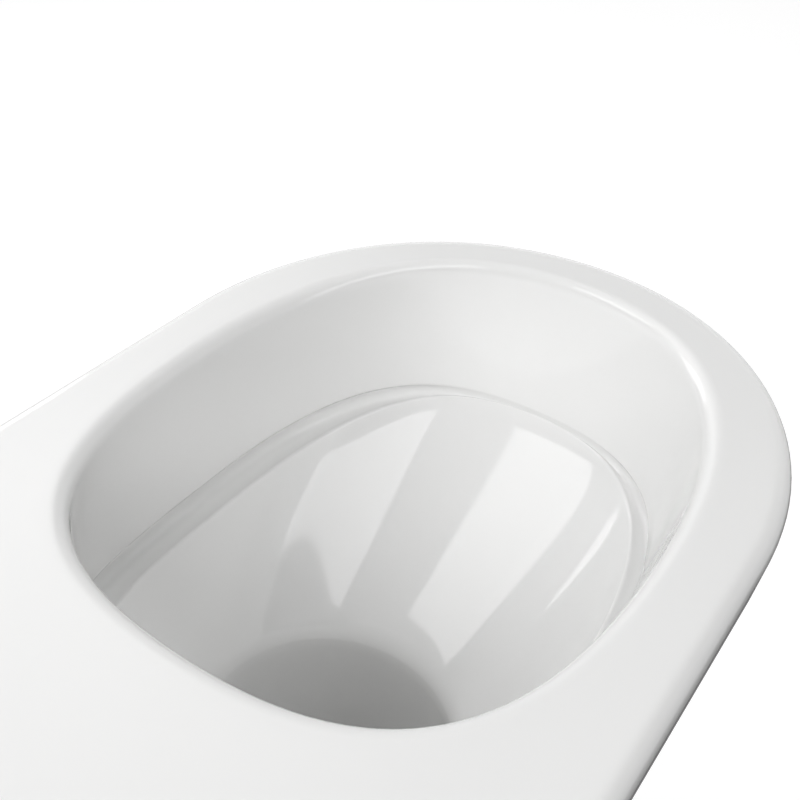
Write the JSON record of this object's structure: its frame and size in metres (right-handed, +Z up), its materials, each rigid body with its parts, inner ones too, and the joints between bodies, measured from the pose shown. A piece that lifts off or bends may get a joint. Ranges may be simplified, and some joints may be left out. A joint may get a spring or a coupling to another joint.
{
  "type": "wall hung toilet",
  "caption": "Wall hung rimless toilet pan in white glazed ceramic, with an egg-shaped bowl, trap, flush and waste pipes, and a concealed stud fixing with side screws and caps.",
  "frame": {"origin": "midway between the two wall studs, on the finished wall's plane", "axes": "+Y into the wall, -Y towards the nose of the pan, +Z up, X across"},
  "size_m": [0.3584, 0.6096, 0.345],
  "materials": {
    "white_glaze": "gloss",
    "white_plastic": "satin",
    "cap_white": "gloss",
    "grey_plastic": "satin",
    "black_pipe": "satin",
    "black_rubber": "matt",
    "foam": "matt",
    "zinc_steel": "zinc plated"
  },
  "bodies": {
    "pan": {"ceramic_pan": "white_glaze", "flush_spreader": "white_plastic", "inlet_seal": "black_rubber", "flush_pipe": "black_pipe", "outlet_seal": "black_rubber", "waste_connector": "black_pipe", "sound_mat": "foam", "left_wall_stud": "zinc_steel", "left_fixing_block": "grey_plastic", "left_block_sleeve": "white_plastic", "left_stud_washer": "zinc_steel", "left_stud_nut": "zinc_steel", "left_clamp_bush": "grey_plastic", "right_wall_stud": "zinc_steel", "right_fixing_block": "grey_plastic", "right_block_sleeve": "white_plastic", "right_stud_washer": "zinc_steel", "right_stud_nut": "zinc_steel", "right_clamp_bush": "grey_plastic"},
    "left_screw": {"left_clamp_screw": "zinc_steel"},
    "right_screw": {"right_clamp_screw": "zinc_steel"},
    "left_cap": {"left_side_cap": "cap_white"},
    "right_cap": {"right_side_cap": "cap_white"}
  },
  "joints": [
    {"name": "left_screw_turn", "type": "hinge", "parent": "pan", "child": "left_screw", "pos_m": [-0.13, -0.04, 0], "axis": [-1, 0, 0], "continuous": true},
    {"name": "right_screw_turn", "type": "hinge", "parent": "pan", "child": "right_screw", "pos_m": [0.13, -0.04, 0], "axis": [1, 0, 0], "continuous": true},
    {"name": "left_cap_pull", "type": "slide", "parent": "pan", "child": "left_cap", "axis": [-1, 0, 0], "range_m": [0, 0.04]},
    {"name": "right_cap_pull", "type": "slide", "parent": "pan", "child": "right_cap", "axis": [1, 0, 0], "range_m": [0, 0.04]}
  ]
}
